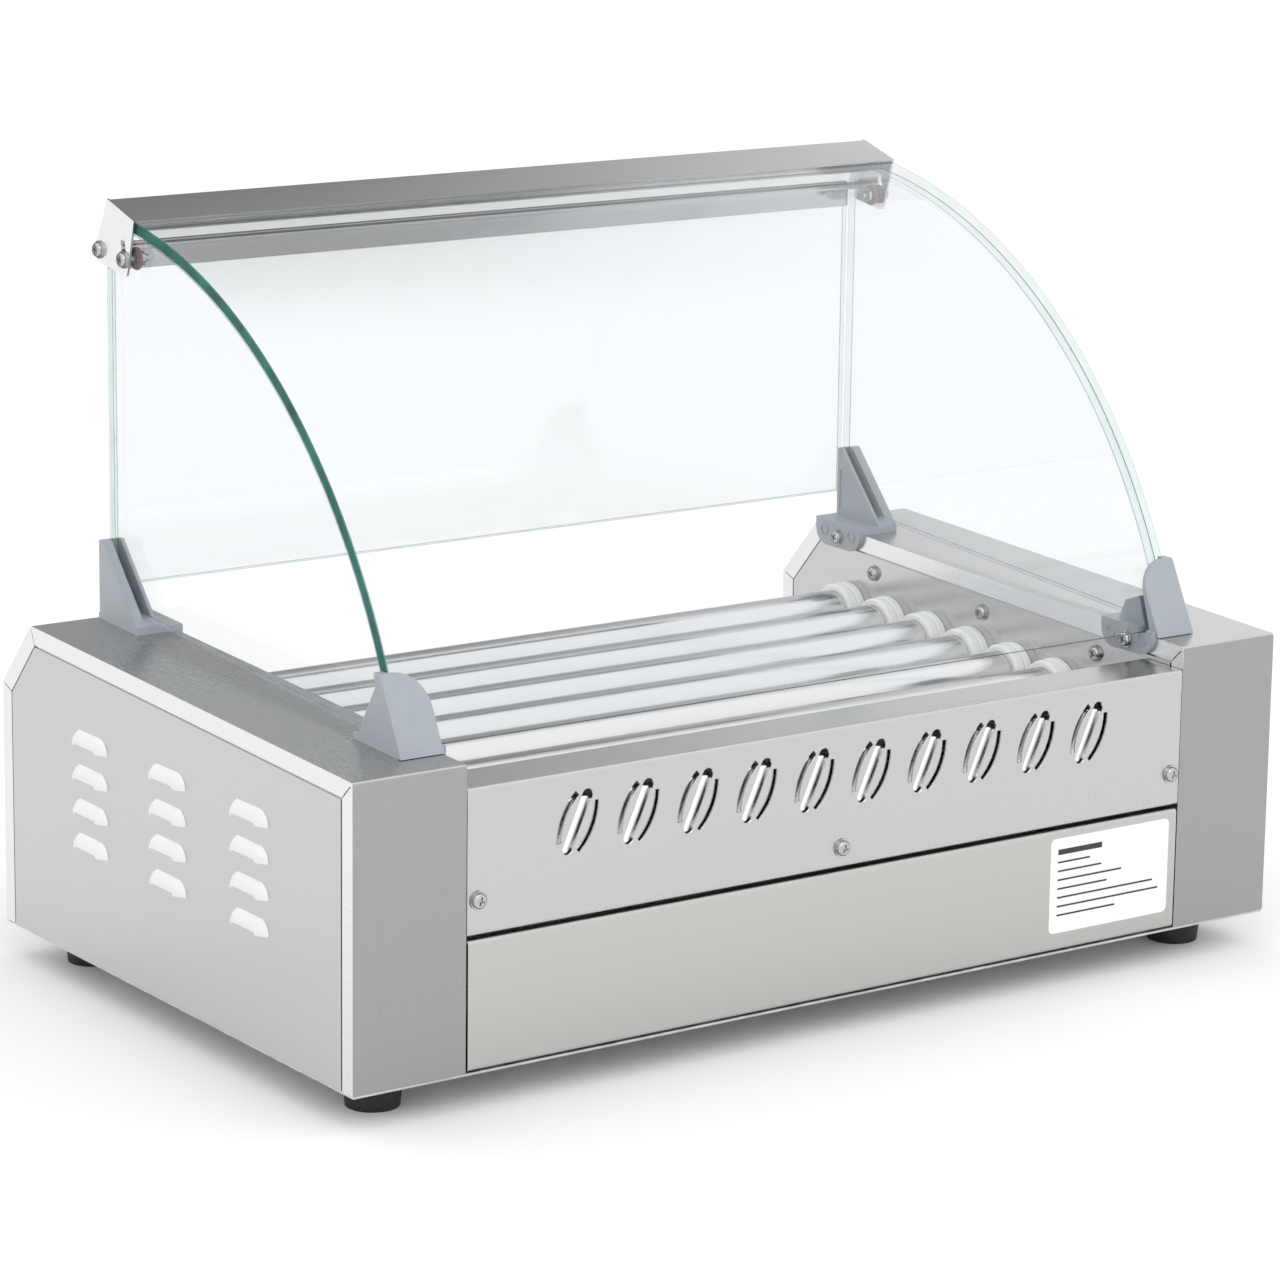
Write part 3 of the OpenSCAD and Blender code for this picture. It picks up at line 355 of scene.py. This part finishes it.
def round_edges(piece, width, segments=2, angle=38.0, material=-1):
    bevel = piece.modifiers.new("eased_edges", "BEVEL")
    bevel.width = width
    bevel.segments = segments
    bevel.limit_method = "ANGLE"
    bevel.angle_limit = math.radians(angle)
    bevel.use_clamp_overlap = False
    bevel.material = material
    bevel.miter_outer = "MITER_ARC"
    flat = piece.modifiers.new("flat_faces", "WEIGHTED_NORMAL")
    flat.weight = 90
    flat.keep_sharp = True


def cad_mesh(node):
    """The node's own surface with its triangles merged back into whole flat faces."""
    bm = bmesh.new()
    bm.from_mesh(NODES[node].data)
    bmesh.ops.remove_doubles(bm, verts=bm.verts, dist=2e-6)
    bmesh.ops.dissolve_limit(bm, angle_limit=math.radians(0.2), verts=bm.verts, edges=bm.edges)
    return bm


EASING_SHARES = (1.0, 0.7, 0.5, 0.35, 0.25, 0.15, 0.1, 0.05, 0.0)
FOLD_LIMIT = 5e-8


def folded_area(piece):
    """Area of the triangles that face against their own polygon, which happens where an eased
    edge overruns a narrow face."""
    graph = bpy.context.evaluated_depsgraph_get()
    evaluated = piece.evaluated_get(graph)
    mesh = evaluated.to_mesh()
    mesh.calc_loop_triangles()
    area = sum(t.area for t in mesh.loop_triangles
               if t.normal.dot(mesh.polygons[t.polygon_index].normal) < 0)
    evaluated.to_mesh_clear()
    return area


def refine(node, width=0.3 * MM, material=None, segments=2, angle=38.0):
    """A finished piece that stands for a CAD node: same shape, its slot's finish, and its edges
    eased by width or by as much of it as folds nothing over."""
    piece = add_piece(node + ".finished", cad_mesh(node), BODY_OF[node],
                      material or FINISH[SLOT_OF[node]], angle)
    round_edges(piece, width, segments, angle)
    for share in EASING_SHARES:
        piece.modifiers["eased_edges"].width = width * share
        if folded_area(piece) < FOLD_LIMIT:
            break
    if not share:
        piece.modifiers.clear()
    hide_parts(node)


def lathe(name, profile, centre, axis, body, material, steps=72):
    """Closed (along, radius) outline turned round an axis through centre."""
    bm = bmesh.new()
    side = Vector((0, 1, 0)) if abs(axis.y) < 0.5 else Vector((0, 0, 1))
    other = axis.cross(side)
    rings = []
    for k in range(steps):
        a = 2 * math.pi * k / steps
        out = side * math.cos(a) + other * math.sin(a)
        rings.append([bm.verts.new(centre + axis * u + out * r) for u, r in profile])
    count = len(profile)
    for k in range(steps):
        a, b = rings[k], rings[(k + 1) % steps]
        for j in range(count):
            bm.faces.new((a[j], a[(j + 1) % count], b[(j + 1) % count], b[j]))
    bmesh.ops.recalc_face_normals(bm, faces=bm.faces)
    return add_piece(name, bm, body, material)


def slab(name, outline, to_world, thickness, body, material):
    """A flat outline, given in its own plane, with a thickness along the plane's normal."""
    bm = bmesh.new()
    low = [bm.verts.new(to_world(u, v, 0.0)) for u, v in outline]
    high = [bm.verts.new(to_world(u, v, thickness)) for u, v in outline]
    bm.faces.new(low[::-1])
    bm.faces.new(high)
    for k in range(len(outline)):
        n = (k + 1) % len(outline)
        bm.faces.new((low[k], low[n], high[n], high[k]))
    bmesh.ops.recalc_face_normals(bm, faces=bm.faces)
    return add_piece(name, bm, body, material)


def round_rect(x0, y0, x1, y1, r, steps=6):
    points = []
    corners = ((x1 - r, y1 - r, 0), (x0 + r, y1 - r, 90), (x0 + r, y0 + r, 180), (x1 - r, y0 + r, 270))
    for cx, cy, start in corners:
        for k in range(steps + 1):
            a = math.radians(start + 90 * k / steps)
            points.append((cx + r * math.cos(a), cy + r * math.sin(a)))
    return points


# ---------------------------------------------------------------- glass

def finish_pane(name, node, bm, arris, is_face, is_painted_shade_end):
    """Glass with its own finishes on the broad faces, the edges, an end painted dark (painted
    shade) and the thin ground arris between them."""
    piece = add_piece(name, bm, BODY_OF[node],
                      [FINISH["clear_glass"], PALE_EDGE, PAINTED_SHADE_EDGE_GLASS, arris])
    for face in piece.data.polygons:
        face.material_index = 0 if is_face(face) else 2 if is_painted_shade_end(face) else 1
    round_edges(piece, 0.4 * MM, 2, 30.0, 3)
    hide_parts(node)


def make_pane(node, axis):
    finish_pane(node + ".finished", node, cad_mesh(node), PALE_ARRIS,
                lambda face: abs(face.normal[axis]) > 0.9, lambda face: False)


def make_front_glass():
    """The bent pane, as long as its CAD node and with the same radius and arc, in fine steps."""
    low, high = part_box("front_glass")
    outer, thick = 317.4 * MM, 6.0 * MM
    centre = Vector((0.0, 156.7 * MM, 84.8 * MM))
    start, end, steps = math.radians(97.5), math.radians(163.2), 96
    section = [(outer, start + (end - start) * k / steps) for k in range(steps + 1)]
    section += [(outer - thick, a) for r, a in reversed(section)]
    bm = bmesh.new()
    ends = [[bm.verts.new((x, centre.y + r * math.cos(a), centre.z + r * math.sin(a)))
             for r, a in section] for x in (low.x, high.x)]
    for k in range(len(section)):
        n = (k + 1) % len(section)
        bm.faces.new((ends[0][k], ends[0][n], ends[1][n], ends[1][k]))
    for side in ends:
        for k in range(steps):
            bm.faces.new((side[k], side[k + 1], side[-k - 2], side[-k - 1]))
    bmesh.ops.recalc_face_normals(bm, faces=bm.faces)

    def is_face(face):
        out = (face.center - centre) * Vector((0, 1, 1))
        return abs(face.normal.dot(out.normalized())) > 0.9

    # the left end, facing -x, takes the dark copy: painted shade
    finish_pane("front_glass.finished", "front_glass", bm, ARRIS_GLASS, is_face,
                lambda face: face.normal.x < -0.9)


# ---------------------------------------------------------------- rollers

def make_roller(i):
    """A turned tube in finer steps than its CAD node, with eased ends."""
    tube = f"roller_{i}_tube"
    low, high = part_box(tube)
    axis_y, axis_z = (low.y + high.y) / 2, (low.z + high.z) / 2
    r, wall, ease = (high.z - low.z) / 2, 1.0 * MM, 0.25 * MM
    length = high.x - low.x
    profile = [(0, r - wall), (0, r - ease), (ease, r), (length - ease, r), (length, r - ease),
               (length, r - wall)]
    piece = lathe(tube + ".finished", profile, Vector((low.x, axis_y, axis_z)), Vector((1, 0, 0)),
                  BODY_OF[tube], FINISH["chromed_roller"], 96)
    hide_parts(tube)


# ---------------------------------------------------------------- label and printing

def make_label():
    """Plain rating label with ruled lines instead of any wording."""
    face_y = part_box("drip_tray")[0].y
    x0, x1, z0, z1 = 0.1385, 0.2200, 0.0295, 0.0810

    def on_front(u, v, t):
        return Vector((u, face_y - t, v))

    film, ink, margin = 0.12 * MM, 0.03 * MM, 5 * MM
    slab("rating_label", round_rect(x0, z0, x1, z1, 3 * MM), on_front, film, "tray", LABEL_VINYL)

    def over_label(u, v, t):
        return Vector((u, face_y - film - t, v))

    # height of each rule on the tray's front, its length, and half its thickness in mm
    rows = [(0.0735, 0.030, 1.5), (0.0680, 0.022, 0.5), (0.0632, 0.030, 0.5), (0.0584, 0.044, 0.5),
            (0.0536, 0.034, 0.5), (0.0488, 0.066, 0.5), (0.0440, 0.070, 0.5), (0.0392, 0.040, 0.5)]
    for k, (z, length, height) in enumerate(rows):
        half = height * MM
        rule = round_rect(x0 + margin, z - half, x0 + margin + length, z + half, 0.3 * MM, 2)
        slab(f"label_rule_{k + 1}", rule, over_label, ink, "tray", PRINT_INK)


def make_numeral(name, text, size, centre, body, material):
    """A dial number standing on a face that looks along +Y."""
    curve = bpy.data.curves.new(name, "FONT")
    curve.body = text
    curve.size = size
    curve.align_x = "CENTER"
    curve.align_y = "CENTER"
    curve.extrude = 0.03 * MM
    text_object = bpy.data.objects.new(name + "_text", curve)
    bpy.context.scene.collection.objects.link(text_object)
    bpy.context.view_layer.update()
    graph = bpy.context.evaluated_depsgraph_get()
    mesh = bpy.data.meshes.new_from_object(text_object.evaluated_get(graph))
    bpy.data.objects.remove(text_object)
    upright = Matrix.Rotation(math.pi, 4, "Z") @ Matrix.Rotation(math.pi / 2, 4, "X")
    mesh.transform(Matrix.Translation(centre) @ upright)
    mesh.materials.clear()
    mesh.materials.append(material)
    piece = bpy.data.objects.new(name, mesh)
    bpy.context.scene.collection.objects.link(piece)
    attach(piece, body)


def make_dial(knob, label):
    """Scale printed on the rear panel round a knob, from its rest at the top clockwise through
    its 270 degrees of travel, and the white line on the knob itself."""
    low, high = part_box(knob)
    radius = (high.x - low.x) / 2
    cx, cz = (low.x + high.x) / 2, high.z - radius
    panel_y = low.y - 1.2 * MM
    tick_gap, long_tick, short_tick, half_width = 1.6 * MM, 2.6 * MM, 1.5 * MM, 0.3 * MM
    number_gap, number_size, lamp_clearance = 2.6 * MM, 4.0 * MM, 8.0 * MM
    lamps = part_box("pilot_lamps")
    lamp_z = (lamps[0].z + lamps[1].z) / 2 - cz

    def on_panel(u, v, t):
        return Vector((cx - u, panel_y + t, cz + v))

    for k in range(13):
        a = math.radians(90 - 270 * k / 12)
        long = long_tick if k % 2 == 0 else short_tick
        r0 = radius + tick_gap
        out, side = Vector((math.cos(a), math.sin(a))), Vector((-math.sin(a), math.cos(a)))
        w = half_width
        corners = [out * r0 - side * w, out * (r0 + long) - side * w,
                   out * (r0 + long) + side * w, out * r0 + side * w]
        slab(f"{label}_tick_{k + 1}", [tuple(c) for c in corners], on_panel, 0.04 * MM, "casing",
             PRINT_INK)
        spot = out * (r0 + long + number_gap)
        if k % 2 == 0 and (spot - Vector((0.0, lamp_z))).length > lamp_clearance:
            make_numeral(f"{label}_number_{k // 2 + 1}", str(k // 2), number_size,
                         on_panel(spot.x, spot.y, 0.02 * MM), "casing", PRINT_INK)

    def on_grip(u, v, t):
        return Vector((cx - u, high.y + t - 0.06 * MM, cz + v))

    slab(f"{label}_pointer", round_rect(-0.7 * MM, 4 * MM, 0.7 * MM, 15 * MM, 0.6 * MM), on_grip,
         0.1 * MM, BODY_OF[knob], WHITE_INK)


# ---------------------------------------------------------------- studio

def make_studio():
    """White paper floor, one soft box in front, and a white tent with a dark curtain at the back."""
    bm = bmesh.new()
    bmesh.ops.create_grid(bm, x_segments=2, y_segments=2, size=30.0)
    floor_mesh = bpy.data.meshes.new("floor")
    bm.to_mesh(floor_mesh)
    bm.free()
    floor = bpy.data.objects.new("floor", floor_mesh)
    bpy.context.scene.collection.objects.link(floor)
    f = Finish("paper_floor")
    paper = f.noise((2.0, 2.0, 2.0))
    floor_mesh.materials.append(f.principled(
        Base_Color=f.tint(paper, (0.90, 0.90, 0.90), (0.91, 0.91, 0.91)), Roughness=0.9,
        Specular_IOR_Level=0.1))

    light = bpy.data.lights.new("front_box", "AREA")
    light.shape = "RECTANGLE"
    light.size, light.size_y = 2.6, 1.6
    light.energy = 14.0
    box = bpy.data.objects.new("front_box", light)
    place, target = Vector((-0.6, -2.6, 2.4)), Vector((0, 0, 0.1))
    box.location = place
    box.rotation_euler = (target - place).to_track_quat("-Z", "Y").to_euler()
    bpy.context.scene.collection.objects.link(box)

    world = bpy.data.worlds.new("studio")
    bpy.context.scene.world = world
    world.use_nodes = True
    nodes, links = world.node_tree.nodes, world.node_tree.links
    nodes.clear()
    out = nodes.new("ShaderNodeOutputWorld")
    sky = nodes.new("ShaderNodeBackground")
    where = nodes.new("ShaderNodeTexCoord")
    split = nodes.new("ShaderNodeSeparateXYZ")
    links.new(where.outputs["Generated"], split.inputs[0])

    def by_height(stops):
        ramp = nodes.new("ShaderNodeValToRGB")
        links.new(split.outputs["Z"], ramp.inputs["Fac"])
        for k, (place, level) in enumerate(stops):
            e = ramp.color_ramp.elements[k] if k < 2 else ramp.color_ramp.elements.new(place)
            e.position = place
            e.color = (level, level, level, 1.0)
        return ramp.outputs[0]

    def step(socket, start, end):
        node = nodes.new("ShaderNodeMapRange")
        node.interpolation_type = "SMOOTHSTEP"
        node.inputs["From Min"].default_value = start
        node.inputs["From Max"].default_value = end
        links.new(socket, node.inputs["Value"])
        return node.outputs[0]

    def times(a, b):
        node = nodes.new("ShaderNodeMath")
        node.operation = "MULTIPLY"
        links.new(a, node.inputs[0])
        links.new(b, node.inputs[1])
        return node

    # a dark curtain stands behind the object, to the rear right; the rest of the tent is white
    front = by_height([(0.0, 0.92), (0.1, 0.9), (0.3, 0.95), (1.0, 1.0)])
    rear = by_height([(0.0, 0.85), (0.06, 0.75), (0.2, 0.42), (0.45, 0.20), (0.72, 0.28), (0.86, 1.0)])
    curtain_left = step(split.outputs["X"], 0.16, 0.34)
    curtain_right = step(split.outputs["X"], 0.66, 0.50)
    curtain_back = step(split.outputs["Y"], 0.05, 0.35)
    behind = times(times(curtain_left, curtain_right).outputs[0], curtain_back)
    both = nodes.new("ShaderNodeMix")
    both.data_type = "RGBA"
    links.new(behind.outputs[0], both.inputs[0])
    links.new(front, both.inputs[6])
    links.new(rear, both.inputs[7])
    links.new(both.outputs[2], sky.inputs["Color"])
    links.new(sky.outputs[0], out.inputs[0])
    sky.inputs["Strength"].default_value = 1.25
    bpy.context.scene.view_settings.view_transform = "Standard"
    bpy.context.scene.view_settings.look = "None"


# ---------------------------------------------------------------- assembly

make_camera()
make_studio()

for node in ("left_housing", "right_housing", "front_panel", "rear_panel", "hood_cap"):
    refine(node, 0.3 * MM)
refine("front_cross_rail", 0.3 * MM, RAIL_STEEL)
for node in ("left_bearing_plate", "right_bearing_plate"):
    refine(node, 0.3 * MM, BEARING_STEEL)
refine("drip_tray", 0.3 * MM, TRAY_STEEL)
refine("base_pan", 0.25 * MM)
for node in ("left_front_bracket", "right_front_bracket", "left_rear_bracket", "right_rear_bracket"):
    refine(node, 0.5 * MM, segments=3)
for node in ("panel_screws", "hood_screws"):
    refine(node, 0.12 * MM)
for node in ("hood_washers", "feet", "rear_flap_rail", "switch_frame", "switch_rocker",
             "left_heat_knob", "right_heat_knob", "cable_gland", "roller_bushings"):
    refine(node, 0.3 * MM)
for i in ROLLERS:
    make_roller(i)
    refine(f"roller_{i}_sleeves", 0.25 * MM)
make_front_glass()
make_pane("left_glass", 0)
make_pane("right_glass", 0)
make_pane("rear_flap_glass", 1)
make_label()
for knob, label in (("left_heat_knob", "left_dial"), ("right_heat_knob", "right_dial")):
    make_dial(knob, label)

for node, piece in NODES.items():
    if not piece.hide_render:
        for slot in piece.material_slots:
            slot.material = PAINTED_LIGHT_LOUVRE_STEEL if "louvre" in node else FINISH[SLOT_OF[node]]
